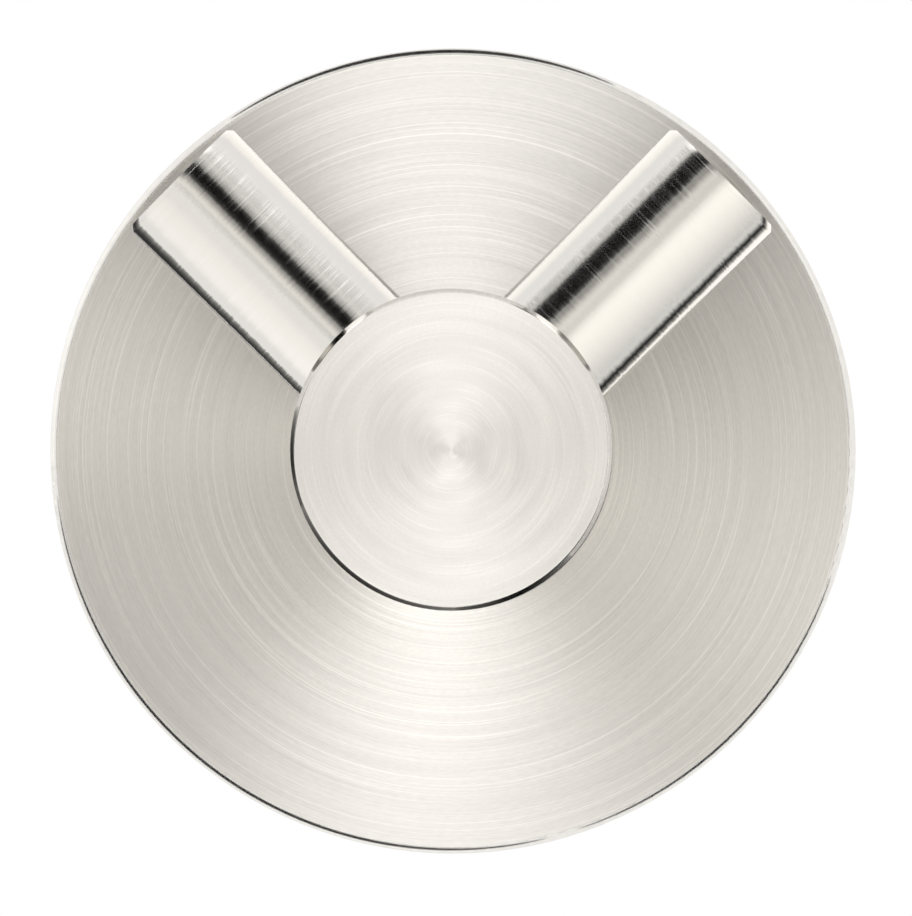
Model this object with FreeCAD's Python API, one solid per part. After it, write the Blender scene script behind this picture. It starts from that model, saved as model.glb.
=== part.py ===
import FreeCAD, Part
import math
import os

# Double robe hook in brushed nickel, in millimetres.
# The wall is the plane y = 0, the hook stands out towards -Y and +Z is up.
# The origin is the centre of the back, on the axis of the round post.

# Cover plate: a turned cup that hides the wall bracket
plate_diameter = 55.0
plate_depth = 8.0
plate_front_wall = 2.5
plate_skirt_wall = 2.5
plate_edge_radius = 0.45
plate_back_chamfer = 0.3

# Hooking lip inside the plate's skirt: the rear opening is bored below the centre
lip_thickness = 1.4
lip_offset = 1.6
lip_least_width = 0.3

# Post
post_diameter = 21.7
post_front = 45.0
post_edge_chamfer = 0.3
post_foot_recess = 0.8
post_foot_gap = 0.05

# Pins
pin_diameter = 9.7
pin_reach = 26.0
pin_angle = 45.0
pin_behind_front = 8.0
pin_tip_chamfer = 0.33
pin_seat_radius = 9.0
pin_seat_gap = 0.05

# Studs that hold the pins
stud_diameter = 5.0
stud_length_in_post = 5.4
stud_length_in_pin = 8.4
stud_chamfer = 0.5

# Screw from behind into the post, with its spring washer
screw_diameter = 5.0
screw_length = 16.0
screw_chamfer = 0.6
screw_head_diameter = 9.5
screw_head_height = 2.75
screw_head_chamfer = 0.9
screw_hexagon = 3.0
screw_hexagon_depth = 1.7
screw_hole_in_plate = 5.5
washer_diameter = 9.2
washer_hole = 5.3
washer_thickness = 1.2
washer_split = 0.8
washer_split_tilt = 20.0

# Dowel that stops the post from turning
dowel_diameter = 2.5
dowel_length = 5.0
dowel_from_post_edge = 3.4
dowel_chamfer = 0.25
dowel_gap = 0.02

# Wall bracket with its undercut rim
bracket_thickness = 4.0
bracket_bore_clearance = 2.2
bracket_edge_chamfer = 0.4
bracket_axial_gap = 0.2
bracket_pass_gap = 0.3
bracket_seat_gap = 0.05
wall_screw_hole = 4.4
wall_screw_countersink = 8.4

# Grub screw in the bottom of the skirt
grub_diameter = 3.0
grub_inset = 0.45
grub_hexagon = 1.5
grub_hexagon_depth = 1.6
grub_chamfer = 0.3
grub_point_gap = 0.02

# Threads are plain cylinders: each hole is this much wider in radius than its screw
thread_gap = 0.05
hole_spare = 0.6

# Sizes that follow from the ones above
outward = FreeCAD.Vector(0, -1, 0)
up = FreeCAD.Vector(0, 0, 1)
down = FreeCAD.Vector(0, 0, -1)
plate_radius = plate_diameter / 2
cavity_radius = plate_radius - plate_skirt_wall
cavity_floor = plate_depth - plate_front_wall
opening_radius = cavity_radius - lip_offset - lip_least_width
rim_radius = opening_radius - bracket_pass_gap
neck_radius = opening_radius - lip_offset - bracket_seat_gap
neck_height = lip_thickness + bracket_axial_gap
undercut_height = rim_radius - neck_radius
bracket_bore = screw_head_diameter + 2 * bracket_bore_clearance
wall_screw_spacing = neck_radius + bracket_bore / 2
grub_height = neck_height + undercut_height / 2
post_foot = plate_depth - post_foot_recess
pin_height = post_front - pin_behind_front
dowel_offset = post_diameter / 2 - dowel_from_post_edge
screw_bearing = cavity_floor - washer_thickness


# A point that stands out this far from the wall
def from_wall(y_out, z=0):
    return FreeCAD.Vector(0, -y_out, z)


def rod(start, direction, diameter, length):
    return Part.makeCylinder(diameter / 2, length, start, direction)


# A cone that widens by 45 degrees, for chamfers and countersinks
def flare(start, direction, small_diameter, large_diameter):
    height = (large_diameter - small_diameter) / 2
    return Part.makeCone(small_diameter / 2, large_diameter / 2, height, start, direction)


def hexagon_socket(start, direction, across_flats, depth):
    corner_radius = across_flats / math.sqrt(3)
    corners = []
    for corner in range(7):
        angle = math.radians(60 * corner)
        corners.append(FreeCAD.Vector(math.cos(angle), math.sin(angle), 0) * corner_radius)
    socket = Part.Face(Part.makePolygon(corners)).extrude(up * depth)
    turn = FreeCAD.Rotation(up, direction)
    socket.Placement = FreeCAD.Placement(start, turn)
    return socket


# The circular edges of a shape with this centre and diameter
def round_edges(shape, centre, diameter):
    near = 1e-4
    circles = [edge for edge in shape.Edges if isinstance(edge.Curve, Part.Circle)]
    return [
        edge
        for edge in circles
        if edge.Curve.Center.distanceToPoint(centre) < near
        and abs(edge.Curve.Radius - diameter / 2) < near
    ]


def rounded(shape, centre, diameter, radius):
    return shape.makeFillet(radius, round_edges(shape, centre, diameter))


def chamfered(shape, centre, diameter, width):
    return shape.makeChamfer(width, round_edges(shape, centre, diameter))


# The direction of a pin, away from the post's axis: side is -1 for left and 1 for right
def pin_direction(side):
    angle = math.radians(pin_angle)
    return FreeCAD.Vector(side * math.sin(angle), 0, math.cos(angle))


def cover_plate():
    cup = rod(from_wall(0), outward, plate_diameter, plate_depth)
    cup = rounded(cup, from_wall(plate_depth), plate_diameter, plate_edge_radius)
    cup = chamfered(cup, from_wall(0), plate_diameter, plate_back_chamfer)
    cavity = rod(from_wall(lip_thickness), outward, 2 * cavity_radius, cavity_floor - lip_thickness)
    cup = cup.cut(cavity)
    cup = cup.cut(rod(from_wall(0, z=-lip_offset), outward, 2 * opening_radius, neck_height))
    foot_diameter = post_diameter + 2 * post_foot_gap
    cup = cup.cut(rod(from_wall(post_foot), outward, foot_diameter, post_foot_recess))
    cup = cup.cut(rod(from_wall(0), outward, screw_hole_in_plate, plate_depth))
    dowel_hole = rod(dowel_start(), outward, dowel_diameter + 2 * dowel_gap, plate_depth)
    cup = cup.cut(dowel_hole)
    grub_hole_start = from_wall(grub_height, z=-neck_radius)
    return cup.cut(rod(grub_hole_start, down, grub_diameter + 2 * thread_gap, plate_radius))


def post():
    length = post_front - post_foot
    body = rod(from_wall(post_foot), outward, post_diameter, length)
    body = chamfered(body, from_wall(post_front), post_diameter, post_edge_chamfer)
    for side in (-1, 1):
        body = body.cut(pin_seat(side))
    screw_depth = screw_bearing + screw_length - post_foot + hole_spare
    screw_hole_diameter = screw_diameter + 2 * thread_gap
    body = body.cut(rod(from_wall(post_foot), outward, screw_hole_diameter, screw_depth))
    dowel_depth = cavity_floor + dowel_length - post_foot + hole_spare
    dowel_entry = from_wall(post_foot, z=dowel_offset)
    dowel_hole_diameter = dowel_diameter + 2 * dowel_gap
    return body.cut(rod(dowel_entry, outward, dowel_hole_diameter, dowel_depth))


# The flat-floored seat that a pin stands in, and the threaded hole for its stud
def pin_seat(side):
    direction = pin_direction(side)
    floor = from_wall(pin_height) + direction * pin_seat_radius
    seat = rod(floor, direction, pin_diameter + 2 * pin_seat_gap, pin_reach)
    stud_depth = stud_length_in_post + thread_gap
    return seat.fuse(rod(floor, direction * -1, stud_diameter + 2 * thread_gap, stud_depth))


def pin(side):
    direction = pin_direction(side)
    foot = from_wall(pin_height) + direction * pin_seat_radius
    tip = from_wall(pin_height) + direction * pin_reach
    body = rod(foot, direction, pin_diameter, pin_reach - pin_seat_radius)
    body = chamfered(body, tip, pin_diameter, pin_tip_chamfer)
    stud_depth = stud_length_in_pin + hole_spare
    return body.cut(rod(foot, direction, stud_diameter + 2 * thread_gap, stud_depth))


def pin_stud(side):
    direction = pin_direction(side)
    inner_end = from_wall(pin_height) + direction * (pin_seat_radius - stud_length_in_post)
    length = stud_length_in_post + stud_length_in_pin
    stud = rod(inner_end, direction, stud_diameter, length)
    stud = chamfered(stud, inner_end, stud_diameter, stud_chamfer)
    return chamfered(stud, inner_end + direction * length, stud_diameter, stud_chamfer)


def post_screw():
    head_top = screw_bearing - screw_head_height
    head = rod(from_wall(head_top), outward, screw_head_diameter, screw_head_height)
    head = chamfered(head, from_wall(head_top), screw_head_diameter, screw_head_chamfer)
    shank = rod(from_wall(screw_bearing), outward, screw_diameter, screw_length)
    shank_end = from_wall(screw_bearing + screw_length)
    shank = chamfered(shank, shank_end, screw_diameter, screw_chamfer)
    socket = hexagon_socket(from_wall(head_top), outward, screw_hexagon, screw_hexagon_depth)
    return head.fuse(shank).cut(socket).removeSplitter()


# A spring washer: a flat ring with a slanted split on its upper side
def lock_washer():
    ring = rod(from_wall(screw_bearing), outward, washer_diameter, washer_thickness)
    ring = ring.cut(rod(from_wall(0), outward, washer_hole, plate_depth))
    slit = Part.makeBox(washer_split, plate_depth, washer_diameter)
    slit.translate(FreeCAD.Vector(-washer_split / 2, -plate_depth / 2, 0))
    slit.rotate(from_wall(0), up, washer_split_tilt)
    slit.translate(from_wall(screw_bearing + washer_thickness / 2))
    return ring.cut(slit)


def dowel_start():
    return from_wall(cavity_floor, z=dowel_offset)


def locating_pin():
    dowel = rod(dowel_start(), outward, dowel_diameter, dowel_length)
    dowel_end = dowel_start() + outward * dowel_length
    return chamfered(dowel, dowel_end, dowel_diameter, dowel_chamfer)


# The neck is against the wall, and the rim that overhangs it is undercut at 45 degrees
def wall_bracket():
    rim_height = neck_height + undercut_height
    disc = rod(from_wall(0), outward, 2 * neck_radius, bracket_thickness)
    disc = disc.fuse(flare(from_wall(neck_height), outward, 2 * neck_radius, 2 * rim_radius))
    rim = rod(from_wall(rim_height), outward, 2 * rim_radius, bracket_thickness - rim_height)
    disc = disc.fuse(rim).removeSplitter()
    front = from_wall(bracket_thickness)
    disc = chamfered(disc, front, 2 * rim_radius, bracket_edge_chamfer)
    disc = disc.cut(rod(from_wall(0), outward, bracket_bore, bracket_thickness))
    sink_depth = (wall_screw_countersink - wall_screw_hole) / 2
    for side in (-1, 1):
        hole_z = side * wall_screw_spacing / 2
        disc = disc.cut(rod(from_wall(0, z=hole_z), outward, wall_screw_hole, bracket_thickness))
        sink_start = from_wall(bracket_thickness - sink_depth, z=hole_z)
        disc = disc.cut(flare(sink_start, outward, wall_screw_hole, wall_screw_countersink))
    return disc


# The cone point bears on the undercut of the bracket's rim, at the very bottom
def grub_screw():
    undercut_at_axis = neck_radius + (grub_height - neck_height)
    point_z = -(undercut_at_axis + grub_point_gap)
    cone_height = grub_diameter / 2
    outer_end = -(plate_radius - grub_inset)
    point = from_wall(grub_height, z=point_z)
    cone = flare(point, down, 0, grub_diameter)
    shoulder = from_wall(grub_height, z=point_z - cone_height)
    shank = rod(shoulder, down, grub_diameter, point_z - cone_height - outer_end)
    shank = chamfered(shank, from_wall(grub_height, z=outer_end), grub_diameter, grub_chamfer)
    screw = shank.fuse(cone).removeSplitter()
    socket_start = from_wall(grub_height, z=outer_end)
    return screw.cut(hexagon_socket(socket_start, up, grub_hexagon, grub_hexagon_depth))


pieces = {
    "cover_plate": cover_plate(),
    "post": post(),
    "left_pin": pin(-1),
    "right_pin": pin(1),
    "left_pin_stud": pin_stud(-1),
    "right_pin_stud": pin_stud(1),
    "post_screw": post_screw(),
    "lock_washer": lock_washer(),
    "locating_pin": locating_pin(),
    "wall_bracket": wall_bracket(),
    "grub_screw": grub_screw(),
}

os.makedirs("parts", exist_ok=True)
for name, shape in pieces.items():
    shape.exportStep(f"parts/{name}.step")
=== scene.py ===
import math

import bpy
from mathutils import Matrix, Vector


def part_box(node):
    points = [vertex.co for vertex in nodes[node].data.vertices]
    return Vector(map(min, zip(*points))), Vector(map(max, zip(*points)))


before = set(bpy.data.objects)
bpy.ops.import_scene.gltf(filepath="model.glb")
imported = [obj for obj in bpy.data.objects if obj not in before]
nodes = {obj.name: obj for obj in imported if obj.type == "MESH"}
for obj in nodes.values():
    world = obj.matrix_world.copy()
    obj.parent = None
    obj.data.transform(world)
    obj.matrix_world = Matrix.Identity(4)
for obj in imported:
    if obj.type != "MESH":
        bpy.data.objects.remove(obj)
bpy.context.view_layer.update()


# Wall bracket: a disc turned from steel bar, with two countersunk holes for the screws that hold
# it to the wall. Its rim is undercut for the cover plate's lip, and the lathe leaves fine rings.
bracket_steel = (0.56, 0.56, 0.55)
centre = (0, 0, 0)
outward = Vector((0, -1, 0))


# A shader node. Its inputs are given by their names, or by their places as _0, _1 and so on, and
# each is a plain value or another node's output.
def add(tree, kind, **inputs):
    node = tree.nodes.new("ShaderNode" + kind)
    for name, value in inputs.items():
        socket = node.inputs[int(name[1:])] if name[0] == "_" else node.inputs[name]
        if isinstance(value, bpy.types.NodeSocket):
            tree.links.new(value, socket)
        else:
            socket.default_value = value
    return node


# What a Math node makes of these numbers or outputs
def calculate(tree, operation, *values):
    node = tree.nodes.new("ShaderNodeMath")
    node.operation = operation
    for socket, value in zip(node.inputs, values):
        if isinstance(value, bpy.types.NodeSocket):
            tree.links.new(value, socket)
        else:
            socket.default_value = value
    return node.outputs[0]


# The same for vectors
def vector(tree, operation, first, second=None):
    node = tree.nodes.new("ShaderNodeVectorMath")
    node.operation = operation
    for socket, value in zip(node.inputs, (first, second)):
        if isinstance(value, bpy.types.NodeSocket):
            tree.links.new(value, socket)
        elif value is not None:
            socket.default_value = value
    return node.outputs["Value" if operation in ("DOT_PRODUCT", "LENGTH") else "Vector"]


def scaled(tree, first, factor):
    node = add(tree, "VectorMath", _0=first)
    node.operation = "SCALE"
    tree.links.new(factor, node.inputs["Scale"])
    return node.outputs["Vector"]


# How far a value has gone from its start, 0, to its end, 1
def progress(tree, value, start, end):
    return add(tree, "MapRange", Value=value, _1=start, _2=end, _3=0.0, _4=1.0).outputs[0]


# A node group with these named inputs and outputs, and the sockets inside it that they lead to
def new_group(name, inputs, outputs):
    group = bpy.data.node_groups.new(name, "ShaderNodeTree")
    for title, kind in inputs:
        group.interface.new_socket(title, in_out="INPUT", socket_type="NodeSocket" + kind)
    for title, kind in outputs:
        group.interface.new_socket(title, in_out="OUTPUT", socket_type="NodeSocket" + kind)
    return group, group.nodes.new("NodeGroupInput").outputs, group.nodes.new("NodeGroupOutput").inputs


# Marks of a tool or belt on a spinning piece. Scratch varies from ring to ring, Lines are the few
# rings that stand bright or lie dark, Grain is short scratches and Bands are wide and soft.
def turning_marks():
    group, given, made = new_group(
        "turning marks",
        [("Axis", "Vector"), ("Middle", "Vector"), ("Ring", "Float"), ("Arcs", "Float")],
        [("Scratch", "Float"), ("Lines", "Float"), ("Grain", "Float"), ("Bands", "Float")],
    )
    place = vector(group, "SUBTRACT", add(group, "TexCoord").outputs["Object"], given["Middle"])
    along = vector(group, "DOT_PRODUCT", place, given["Axis"])
    spoke = vector(group, "SUBTRACT", place, scaled(group, given["Axis"], along))
    reach = calculate(group, "ADD", along, vector(group, "LENGTH", spoke))
    ring_count = calculate(group, "DIVIDE", reach, given["Ring"])
    direction = vector(group, "NORMALIZE", spoke)

    def rings(width, length):
        step = scaled(group, given["Axis"], calculate(group, "DIVIDE", ring_count, width))
        turn = scaled(group, direction, calculate(group, "DIVIDE", given["Arcs"], length))
        spot = vector(group, "ADD", turn, step)
        noise = add(group, "TexNoise", Vector=spot, Scale=1.0, Detail=1.0, Roughness=0.5)
        return noise.outputs[0]

    average = 0.5
    scratch = rings(width=1.0, length=1.0)
    group.links.new(calculate(group, "SUBTRACT", scratch, average), made["Scratch"])
    bright = progress(group, scratch, start=0.57, end=0.72)
    dark = progress(group, scratch, start=0.43, end=0.28)
    dark_share = 0.4
    group.links.new(calculate(group, "MULTIPLY_ADD", dark, -dark_share, bright), made["Lines"])
    grain = rings(width=0.8, length=0.02)
    group.links.new(calculate(group, "SUBTRACT", grain, average), made["Grain"])
    bands = rings(width=7.0, length=0.8)
    group.links.new(calculate(group, "SUBTRACT", bands, average), made["Bands"])
    return group


marks_group = turning_marks()


# Metal that was worked while it turned about this axis. The scratches lie along the rings, so
# the highlight is drawn out across them.
def turned_metal(name, colour, axis, middle, roughness, stretch, ring, arcs, lines, grain, bands):
    material = bpy.data.materials.new(name)
    material.use_nodes = True
    tree = material.node_tree
    shader = tree.nodes["Principled BSDF"]
    shader.inputs["Metallic"].default_value = 1.0
    shader.inputs["Anisotropic"].default_value = stretch
    marks = add(tree, "Group")
    marks.name = "marks"
    marks.node_tree = marks_group
    marks.inputs["Axis"].default_value = axis
    marks.inputs["Middle"].default_value = middle
    marks.inputs["Ring"].default_value = ring
    marks.inputs["Arcs"].default_value = arcs
    light = calculate(tree, "MULTIPLY_ADD", marks.outputs["Lines"], lines, 1.0)
    light = calculate(tree, "MULTIPLY_ADD", marks.outputs["Grain"], grain, light)
    light = calculate(tree, "MULTIPLY_ADD", marks.outputs["Bands"], bands, light)
    tree.links.new(scaled(tree, colour, light), shader.inputs["Base Color"])
    unevenness = 0.2 * roughness
    uneven = calculate(tree, "MULTIPLY_ADD", marks.outputs["Bands"], unevenness, roughness)
    tree.links.new(uneven, shader.inputs["Roughness"])
    place = vector(tree, "SUBTRACT", add(tree, "TexCoord").outputs["Object"], middle)
    around = vector(tree, "NORMALIZE", vector(tree, "CROSS_PRODUCT", axis, place))
    across = vector(tree, "CROSS_PRODUCT", add(tree, "NewGeometry").outputs["Normal"], around)
    tree.links.new(across, shader.inputs["Tangent"])
    return material


nodes["wall_bracket"].material_slots[0].material = turned_metal(
    "turned steel",
    colour=bracket_steel,
    axis=outward,
    middle=centre,
    roughness=0.45,
    stretch=0.7,
    ring=0.00025,
    arcs=0.4,
    lines=0.12,
    grain=0.3,
    bands=0.4,
)


# Cover plate: a cup turned from brass bar, nickel plated, and brushed with a belt while it
# spins. Its lip hooks over the wall bracket's rim.
nickel = (0.76, 0.738, 0.70)
plate_low, plate_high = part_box("cover_plate")


# The turned edge round a piece's front, which the belt burnishes: Edge is 1 on it. Across it the
# metal turns from the first angle off the axis to the last, and Tilt leans it round the axis.
def turned_edge():
    group, given, made = new_group(
        "turned edge",
        [("Axis", "Vector"), ("Middle", "Vector"), ("Front", "Float"), ("Radius", "Float")]
        + [("Width", "Float"), ("First angle", "Float"), ("Last angle", "Float"), ("Tilt", "Float")],
        [("Edge", "Float"), ("Normal", "Vector")],
    )
    place = vector(group, "SUBTRACT", add(group, "TexCoord").outputs["Object"], given["Middle"])
    along = vector(group, "DOT_PRODUCT", place, given["Axis"])
    spoke = vector(group, "SUBTRACT", place, scaled(group, given["Axis"], along))
    outwards = vector(group, "NORMALIZE", spoke)
    behind = calculate(group, "SUBTRACT", given["Front"], along)
    depth = calculate(group, "DIVIDE", behind, given["Width"])
    face_end, side_start = 0.002, 0.995
    off_face = calculate(group, "GREATER_THAN", depth, face_end)
    off_side = calculate(group, "LESS_THAN", depth, side_start)
    on_edge = calculate(group, "MULTIPLY", off_side, off_face)
    inwards = calculate(group, "SUBTRACT", given["Radius"], vector(group, "LENGTH", spoke))
    inset = calculate(group, "DIVIDE", inwards, given["Width"])
    roll = calculate(group, "MAXIMUM", calculate(group, "SUBTRACT", 1.0, inset), 0.0)
    span = calculate(group, "SUBTRACT", given["Last angle"], given["First angle"])
    angle = calculate(group, "MULTIPLY_ADD", roll, span, given["First angle"])
    forward = scaled(group, given["Axis"], calculate(group, "COSINE", angle))
    rolled = vector(group, "ADD", forward, scaled(group, outwards, calculate(group, "SINE", angle)))
    plain = add(group, "NewGeometry").outputs["Normal"]
    faced = vector(group, "ADD", plain, scaled(group, vector(group, "SUBTRACT", rolled, plain), on_edge))
    around = vector(group, "CROSS_PRODUCT", given["Axis"], outwards)
    leaned = vector(group, "ADD", faced, scaled(group, around, given["Tilt"]))
    group.links.new(vector(group, "NORMALIZE", leaned), made["Normal"])
    group.links.new(on_edge, made["Edge"])
    return group


edge_group = turned_edge()


# Gives a metal that edge. The front is where the face lies along the axis, the radius and width
# are the edge's own, and smooth is its roughness.
def turn_edge(material, axis, middle, front, radius, width, smooth, first_angle, last_angle):
    tree = material.node_tree
    shader = tree.nodes["Principled BSDF"]
    edge = add(tree, "Group")
    edge.name = "edge"
    edge.node_tree = edge_group
    edge.inputs["Axis"].default_value = axis
    edge.inputs["Middle"].default_value = middle
    edge.inputs["Front"].default_value = front
    edge.inputs["Radius"].default_value = radius
    edge.inputs["Width"].default_value = width
    edge.inputs["First angle"].default_value = math.radians(first_angle)
    edge.inputs["Last angle"].default_value = math.radians(last_angle)
    brushed = shader.inputs["Roughness"].links[0].from_socket
    rough = add(tree, "Mix", Factor=edge.outputs["Edge"], A=brushed, B=smooth)
    tree.links.new(rough.outputs[0], shader.inputs["Roughness"])
    tree.links.new(edge.outputs["Normal"], shader.inputs["Normal"])
    return material


plate_material = turned_metal(
    "plate nickel",
    colour=nickel,
    axis=outward,
    middle=centre,
    roughness=0.40,
    stretch=1.0,
    ring=0.00012,
    arcs=0.8,
    lines=0.15,
    grain=0.16,
    bands=0.17,
)
nodes["cover_plate"].material_slots[0].material = turn_edge(
    plate_material,
    axis=outward,
    middle=centre,
    front=-plate_low.y,
    radius=plate_high.x,
    width=0.00045,
    smooth=0.07,
    first_angle=46,
    last_angle=57,
)


# Grub screw: hardened steel with a hexagon socket and a cone point. It goes up through the
# bottom of the plate's skirt and presses behind the bracket's undercut rim.
ground_steel = (0.48, 0.48, 0.49)
grub_low, grub_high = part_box("grub_screw")
grub_middle = (grub_low + grub_high) / 2
upwards = (0, 0, 1)


# The ridges of a thread that winds round an axis, on the surface at this radius
def screw_thread():
    group, given, made = new_group(
        "screw thread",
        [("Axis", "Vector"), ("Middle", "Vector"), ("Radius", "Float"), ("Pitch", "Float")],
        [("Height", "Float")],
    )
    place = vector(group, "SUBTRACT", add(group, "TexCoord").outputs["Object"], given["Middle"])
    along = vector(group, "DOT_PRODUCT", place, given["Axis"])
    spoke = vector(group, "SUBTRACT", place, scaled(group, given["Axis"], along))
    off_every_axis = (1, 0.3, 0)
    first_side = vector(group, "CROSS_PRODUCT", given["Axis"], off_every_axis)
    first_side = vector(group, "NORMALIZE", first_side)
    second_side = vector(group, "CROSS_PRODUCT", given["Axis"], first_side)
    angle = calculate(
        group,
        "ARCTAN2",
        vector(group, "DOT_PRODUCT", spoke, second_side),
        vector(group, "DOT_PRODUCT", spoke, first_side),
    )
    climb = calculate(group, "DIVIDE", along, given["Pitch"])
    helix = calculate(group, "MULTIPLY_ADD", angle, 1 / (2 * math.pi), climb)
    ridge = calculate(group, "PINGPONG", helix, 0.5)
    outside = calculate(group, "DIVIDE", vector(group, "LENGTH", spoke), given["Radius"])
    tolerance = 0.02
    on_shank = calculate(group, "COMPARE", outside, 1.0, tolerance)
    group.links.new(calculate(group, "MULTIPLY", ridge, on_shank), made["Height"])
    return group


thread_group = screw_thread()


# Puts a thread on a metal, too fine for the solid and so only in its shading
def cut_thread(material, axis, middle, radius, pitch):
    tree = material.node_tree
    thread = add(tree, "Group")
    thread.node_tree = thread_group
    thread.inputs["Axis"].default_value = axis
    thread.inputs["Middle"].default_value = middle
    thread.inputs["Radius"].default_value = radius
    thread.inputs["Pitch"].default_value = pitch
    bump = add(tree, "Bump", Height=thread.outputs["Height"], Distance=pitch)
    tree.links.new(bump.outputs[0], tree.nodes["Principled BSDF"].inputs["Normal"])
    return material


nodes["grub_screw"].material_slots[0].material = cut_thread(
    turned_metal(
        "threaded steel",
        colour=ground_steel,
        axis=upwards,
        middle=grub_middle,
        roughness=0.3,
        stretch=0.4,
        ring=0.0001,
        arcs=0.6,
        lines=0.08,
        grain=0.2,
        bands=0.2,
    ),
    axis=upwards,
    middle=grub_middle,
    radius=(grub_high.x - grub_low.x) / 2,
    pitch=0.0005,
)


# Post: nickel-plated brass bar, faced and brushed in the lathe, with the two flat-floored seats
# for the pins bored across it. It stands in a shallow recess of the plate.
dull_nickel = (0.67, 0.65, 0.617)
post_low, post_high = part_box("post")
post_material = turned_metal(
    "post nickel",
    colour=dull_nickel,
    axis=outward,
    middle=centre,
    roughness=0.60,
    stretch=0.35,
    ring=0.00013,
    arcs=1.0,
    lines=0.07,
    grain=0.12,
    bands=0.15,
)
nodes["post"].material_slots[0].material = turn_edge(
    post_material,
    axis=outward,
    middle=centre,
    front=-post_low.y,
    radius=post_high.x,
    width=0.0003,
    smooth=0.09,
    first_angle=58,
    last_angle=90,
)


# Locating pin: a short ground dowel pressed in between the plate and the post's foot, off the
# axis, so the post can't turn on the plate.
dowel_low, dowel_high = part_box("locating_pin")
nodes["locating_pin"].material_slots[0].material = turned_metal(
    "ground steel",
    colour=ground_steel,
    axis=outward,
    middle=(dowel_low + dowel_high) / 2,
    roughness=0.25,
    stretch=0.4,
    ring=0.0001,
    arcs=0.6,
    lines=0.05,
    grain=0.15,
    bands=0.15,
)


# Post screw and spring washer: bright zinc-plated steel. The screw comes from behind, through
# the washer and the plate, into the post's foot.
zinc = (0.62, 0.645, 0.67)
screw_radius = 0.0025
nodes["post_screw"].material_slots[0].material = cut_thread(
    turned_metal(
        "screw zinc",
        colour=zinc,
        axis=outward,
        middle=centre,
        roughness=0.32,
        stretch=0.3,
        ring=0.00015,
        arcs=0.6,
        lines=0.05,
        grain=0.2,
        bands=0.4,
    ),
    axis=outward,
    middle=centre,
    radius=screw_radius,
    pitch=0.0008,
)
nodes["lock_washer"].material_slots[0].material = turned_metal(
    "washer zinc",
    colour=zinc,
    axis=outward,
    middle=centre,
    roughness=0.36,
    stretch=0.2,
    ring=0.0002,
    arcs=0.6,
    lines=0.05,
    grain=0.3,
    bands=0.4,
)


# Pin studs: zinc-plated steel rod, threaded over its whole length. One half is screwed into the
# post, and the pin is screwed onto the other.
sides = {"left": -1, "right": 1}


# The line that the stud and pin of one side share, and where it meets the post's axis
def pin_axis(side):
    return Vector((side, 0, 1)).normalized()


def pin_middle(name):
    low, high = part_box(f"{name}_pin")
    return Vector((0, (low.y + high.y) / 2, 0))


for name, side in sides.items():
    low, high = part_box(f"{name}_pin_stud")
    nodes[f"{name}_pin_stud"].material_slots[0].material = cut_thread(
        turned_metal(
            f"{name} stud zinc",
            colour=zinc,
            axis=pin_axis(side),
            middle=pin_middle(name),
            roughness=0.32,
            stretch=0.3,
            ring=0.00015,
            arcs=0.6,
            lines=0.05,
            grain=0.2,
            bands=0.4,
        ),
        axis=pin_axis(side),
        middle=pin_middle(name),
        radius=(high.y - low.y) / 2,
        pitch=0.0008,
    )


# Pins: nickel-plated brass bar, brushed round their own axes to a brighter finish than the flat
# faces. Each is drawn into its seat in the post by its stud.
pin_edge = 0.00033


# A coarser scratch scatters more light and leans the surface to one side, so it breaks the dark
# reflections up.
def coarsen_scratches(material, coarse, scratch_lean, line_lean):
    tree = material.node_tree
    shader = tree.nodes["Principled BSDF"]
    marks, edge = tree.nodes["marks"], tree.nodes["edge"]
    deep = progress(tree, marks.outputs["Scratch"], start=0.02, end=0.2)
    plain = shader.inputs["Roughness"].links[0].from_socket
    rough = calculate(tree, "MULTIPLY_ADD", deep, coarse, plain)
    tree.links.new(rough, shader.inputs["Roughness"])
    lean = calculate(tree, "MULTIPLY", marks.outputs["Scratch"], scratch_lean)
    lean = calculate(tree, "MULTIPLY_ADD", marks.outputs["Lines"], line_lean, lean)
    tree.links.new(lean, edge.inputs["Tilt"])


for name, side in sides.items():
    low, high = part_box(f"{name}_pin")
    pin_radius = (high.y - low.y) / 2
    side_end = high.z * math.sqrt(2) - pin_radius
    pin_material = turned_metal(
        f"{name} pin nickel",
        colour=nickel,
        axis=pin_axis(side),
        middle=pin_middle(name),
        roughness=0.095,
        stretch=0.5,
        ring=0.00009,
        arcs=0.9,
        lines=0.008,
        grain=0.012,
        bands=0.02,
    )
    turn_edge(
        pin_material,
        axis=pin_axis(side),
        middle=pin_middle(name),
        front=side_end + pin_edge,
        radius=pin_radius,
        width=pin_edge,
        smooth=0.11,
        first_angle=89,
        last_angle=90,
    )
    coarsen_scratches(pin_material, coarse=0.06, scratch_lean=0.05, line_lean=0.02)
    nodes[f"{name}_pin"].material_slots[0].material = pin_material


# Studio: a white tent with soft lamps above and below, grey cards at the sides and black cards
# that draw the dark lines on the pins and edges. None of it is part of the hook.
world = bpy.data.worlds.new("white tent")
bpy.context.scene.world = world
world.use_nodes = True
tent = world.node_tree.nodes["Background"]
tent.inputs["Color"].default_value = (1, 1, 1, 1)
tent.inputs["Strength"].default_value = 1.0


def stage_mesh(name, points, faces, material):
    mesh = bpy.data.meshes.new(name)
    mesh.from_pydata(points, [], faces)
    mesh.materials.append(material)
    piece = bpy.data.objects.new(name, mesh)
    bpy.context.scene.collection.objects.link(piece)
    return piece


# The cards and lamps show in the metal's reflections and nowhere else
def only_in_reflections(piece):
    piece.visible_camera = False
    piece.visible_diffuse = False
    piece.visible_shadow = False
    piece.visible_transmission = False


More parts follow.
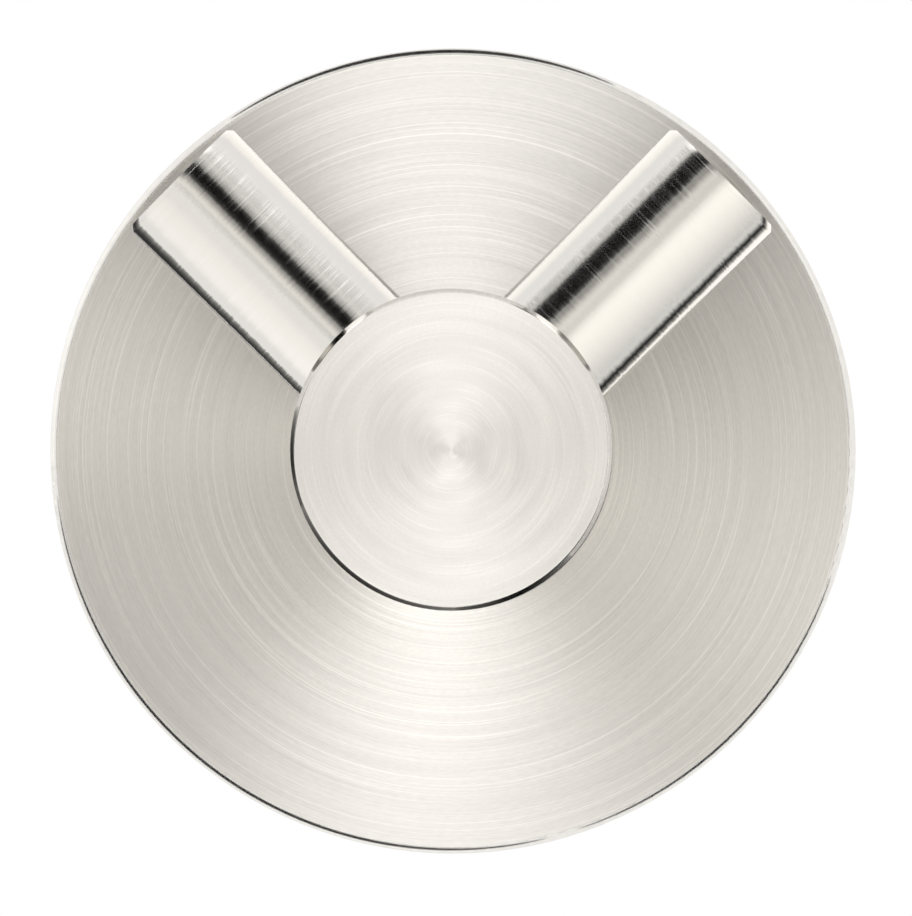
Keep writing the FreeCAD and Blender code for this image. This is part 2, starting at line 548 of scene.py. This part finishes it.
# A card is a patch of a dome round the hook, in this direction from it and this wide and high to
# either side, in degrees. It fades out towards its edge. The light from above and below is a
# little cooler than from the sides. A lamp ends where the wall begins, and only this share of it
# is left where one piece mirrors it to another.
def studio_card(name, azimuth, elevation, distance, wide, high, cover, glow, edge, lamp=0):
    side, up = math.radians(azimuth), math.radians(elevation)
    direction = Vector(
        (math.sin(side) * math.cos(up), -math.cos(side) * math.cos(up), math.sin(up))
    )
    half_width, half_height = math.radians(wide), math.radians(high)
    steps = 16
    points, faces = [], []
    for row in range(steps + 1):
        for column in range(steps + 1):
            across = math.tan(half_width * (2 * column / steps - 1))
            along = math.tan(half_height * (2 * row / steps - 1))
            points.append(Vector((across, along, 1)).normalized() * distance)
    for row in range(steps):
        for column in range(steps):
            first = row * (steps + 1) + column
            faces.append((first, first + 1, first + steps + 2, first + steps + 1))
    material = bpy.data.materials.new(name)
    material.use_nodes = True
    tree = material.node_tree
    tree.nodes.clear()
    spot = add(tree, "SeparateXYZ", Vector=add(tree, "TexCoord").outputs["Object"])
    squares = []
    for axis, half in (("X", half_width), ("Y", half_height)):
        slope = calculate(tree, "DIVIDE", spot.outputs[axis], spot.outputs["Z"])
        squares.append(calculate(tree, "POWER", calculate(tree, "DIVIDE", slope, math.tan(half)), 2.0))
    inside = calculate(tree, "SUBTRACT", 1.0, calculate(tree, "ADD", *squares))
    soft = calculate(tree, "POWER", calculate(tree, "MAXIMUM", inside, 0.0), edge)
    if lamp:
        depth = add(tree, "SeparateXYZ", Vector=add(tree, "NewGeometry").outputs["Position"])
        faded_out = 0.15 * distance
        before_wall = progress(tree, depth.outputs["Y"], start=faded_out, end=0.0)
        soft = calculate(tree, "MULTIPLY", soft, before_wall)
        mirrors = add(tree, "LightPath").outputs["Ray Depth"]
        mirrored_again = calculate(tree, "GREATER_THAN", mirrors, 1.5)
        glow = calculate(tree, "MULTIPLY_ADD", mirrored_again, (lamp - 1) * glow, glow)
    cool, warm = (0.985, 0.99, 1, 1), (1, 0.98, 0.94, 1)
    tint = cool if abs(elevation) > 60 else warm
    light = add(tree, "Emission", Color=tint, Strength=glow)
    clear = add(tree, "BsdfTransparent")
    mix = add(tree, "MixShader", _0=calculate(tree, "MULTIPLY", soft, cover))
    tree.links.new(clear.outputs[0], mix.inputs[1])
    tree.links.new(light.outputs[0], mix.inputs[2])
    add(tree, "OutputMaterial", Surface=mix.outputs[0])
    card = stage_mesh(name, points, faces, material)
    card.rotation_mode = "QUATERNION"
    card.rotation_quaternion = direction.to_track_quat("Z", "Y")
    only_in_reflections(card)


# Lamps above and below, which draw the bright bow-tie on the plate and post
studio_card(
    "lamp_upper_back",
    azimuth=182, elevation=78, distance=2.0, wide=43, high=67,
    cover=0.99, glow=4.1, edge=1.25, lamp=0.4,
)
studio_card(
    "lamp_over",
    azimuth=-2, elevation=74, distance=1.9, wide=41, high=38,
    cover=0.99, glow=5.0, edge=0.4, lamp=0.5,
)
studio_card(
    "lamp_under",
    azimuth=-6, elevation=-81, distance=1.8, wide=47, high=63,
    cover=0.99, glow=4.7, edge=1.5, lamp=0.8,
)

# The white wall behind the hook, then the grey sides that darken the bow-tie's ends
studio_card(
    "white_card_behind",
    azimuth=180, elevation=0, distance=2.3, wide=66, high=66,
    cover=0.95, glow=1.3, edge=0.8,
)
studio_card(
    "grey_card_left",
    azimuth=-60, elevation=18.5, distance=1.7, wide=70, high=30.5,
    cover=0.98, glow=0.28, edge=0.4,
)
studio_card(
    "grey_card_right",
    azimuth=57, elevation=-5, distance=1.6, wide=69, high=55,
    cover=0.76, glow=0.19, edge=1.1,
)

# Softer lamps at the sides and beside the camera, for the pins' bright bands
studio_card(
    "lamp_right",
    azimuth=65, elevation=-3.5, distance=1.5, wide=71, high=45,
    cover=0.71, glow=2.2, edge=1.4, lamp=0.6,
)
studio_card(
    "lamp_low_left",
    azimuth=-53, elevation=-29, distance=1.4, wide=50, high=32,
    cover=0.74, glow=0.99, edge=2.0,
)
studio_card(
    "lamp_front",
    azimuth=-40, elevation=5, distance=1.3, wide=45, high=16,
    cover=0.93, glow=1.62, edge=0.95,
)

# The dark streak along each pin: a black card in front of a soft grey one
studio_card(
    "grey_card_front_right",
    azimuth=17, elevation=18, distance=1.25, wide=26, high=28,
    cover=0.9, glow=0.0, edge=1.7,
)
studio_card(
    "grey_card_front_left",
    azimuth=-40.5, elevation=33.5, distance=1.2, wide=22, high=17,
    cover=0.9, glow=0.0, edge=1.1,
)
studio_card(
    "black_card_right",
    azimuth=17.7, elevation=17, distance=1.15, wide=12, high=12,
    cover=1.0, glow=0.0, edge=0.3,
)
studio_card(
    "black_card_left",
    azimuth=-39.4, elevation=31.8, distance=1.1, wide=16.5, high=16,
    cover=1.0, glow=0.0, edge=0.3,
)

# Cards behind the hook, for the dark lines on the pins' sides and the post's edge
studio_card(
    "black_card_behind_low",
    azimuth=-161, elevation=-30, distance=1.0, wide=36, high=26,
    cover=1.0, glow=0.0, edge=0.3,
)
studio_card(
    "black_card_behind_left",
    azimuth=-137, elevation=-2, distance=0.95, wide=15, high=14,
    cover=1.0, glow=0.0, edge=0.3,
)
studio_card(
    "black_card_low_right",
    azimuth=125, elevation=-39, distance=0.9, wide=24, high=38,
    cover=0.99, glow=0.0, edge=3.9,
)
studio_card(
    "black_card_behind_right",
    azimuth=151, elevation=-46, distance=0.85, wide=19, high=18,
    cover=1.0, glow=0.0, edge=0.3,
)
studio_card(
    "black_card_high_right",
    azimuth=144.5, elevation=45, distance=0.85, wide=7, high=8,
    cover=1.0, glow=0.0, edge=0.5,
)


def plain_glow(name, glow):
    material = bpy.data.materials.new(name)
    material.use_nodes = True
    material.node_tree.nodes.clear()
    light = add(material.node_tree, "Emission", Strength=glow)
    add(material.node_tree, "OutputMaterial", Surface=light.outputs[0])
    return material


# A narrow strip beside the plate's skirt, between two depths behind the plate's front. The plate's
# turned edge mirrors it as a thin line. A tapered strip is widest in the middle of its arc.
def edge_strip(name, first_angle, last_angle, first_depth, last_depth, gap, glow, tapered):
    steps = 96
    strip_radius = plate_high.x + gap
    middle = plate_low.y + (first_depth + last_depth) / 2
    points, faces = [], []
    for step in range(steps + 1):
        share = step / steps
        angle = math.radians(first_angle + (last_angle - first_angle) * share)
        half = (last_depth - first_depth) / 2
        if tapered:
            half = half * math.sqrt(math.sin(math.pi * share))
        ring = Vector((math.cos(angle), 0, math.sin(angle))) * strip_radius
        points.append(ring + Vector((0, middle - half, 0)))
        points.append(ring + Vector((0, middle + half, 0)))
    for step in range(steps):
        first = 2 * step
        faces.append((first, first + 1, first + 3, first + 2))
    only_in_reflections(stage_mesh(name, points, faces, plain_glow(name, glow)))


edge_strip(
    "white_strip",
    first_angle=0, last_angle=360, first_depth=-0.0003, last_depth=0.003,
    gap=0.0032, glow=1.1, tapered=False,
)
edge_strip(
    "black_strip_over",
    first_angle=66, last_angle=124, first_depth=0.0005, last_depth=0.00135,
    gap=0.003, glow=0.0, tapered=True,
)
edge_strip(
    "black_strip_low_left",
    first_angle=186, last_angle=284, first_depth=0.0003, last_depth=0.00095,
    gap=0.003, glow=0.0, tapered=True,
)
edge_strip(
    "black_strip_low_right",
    first_angle=288, last_angle=342, first_depth=0.0003, last_depth=0.00085,
    gap=0.003, glow=0.0, tapered=True,
)


# Floor: pale paper well below the hook, for the views from above. It is clear from underneath,
# where nothing stands, and the metal doesn't mirror it.
reach = 2.5
floor_height = -0.3
paper = bpy.data.materials.new("pale floor")
paper.use_nodes = True
paper_shader = paper.node_tree.nodes["Principled BSDF"]
paper_shader.inputs["Base Color"].default_value = (0.86, 0.86, 0.85, 1)
paper_shader.inputs["Roughness"].default_value = 0.9
see_through = add(paper.node_tree, "BsdfTransparent")
from_below = add(paper.node_tree, "NewGeometry").outputs["Backfacing"]
floor_shader = add(paper.node_tree, "MixShader", _0=from_below)
paper.node_tree.links.new(paper_shader.outputs[0], floor_shader.inputs[1])
paper.node_tree.links.new(see_through.outputs[0], floor_shader.inputs[2])
floor_output = paper.node_tree.nodes["Material Output"]
paper.node_tree.links.new(floor_shader.outputs[0], floor_output.inputs["Surface"])
corners = [(-reach, -reach, 0), (reach, -reach, 0), (reach, reach, 0), (-reach, reach, 0)]
floor = stage_mesh("floor", corners, [(0, 1, 2, 3)], paper)
floor.location.z = floor_height
floor.visible_glossy = False


# Camera: far away with a long lens, straight ahead of the plate and very slightly to the right
# and below, as the photograph was taken. The plate's radius takes plate_pixels of the picture.
camera_data = bpy.data.cameras.new("camera")
camera = bpy.data.objects.new("camera", camera_data)
bpy.context.scene.collection.objects.link(camera)
bpy.context.scene.camera = camera
camera_data.lens = 1500
camera_data.sensor_width = 36
frame_height = 916
plate_pixels = 402.7
metres_per_pixel = plate_high.x / plate_pixels
distance = metres_per_pixel * frame_height * camera_data.lens / camera_data.sensor_width
to_the_right, below = 0.0086, 0.0062
camera.location = (to_the_right, plate_low.y - distance, -below)
aim_right, aim_below = 3.0 * metres_per_pixel, 7.0 * metres_per_pixel
aim = Vector((aim_right, plate_low.y, -aim_below))
camera.rotation_mode = "QUATERNION"
camera.rotation_quaternion = (aim - camera.location).to_track_quat("-Z", "Y")

bpy.context.scene.view_settings.view_transform = "Standard"
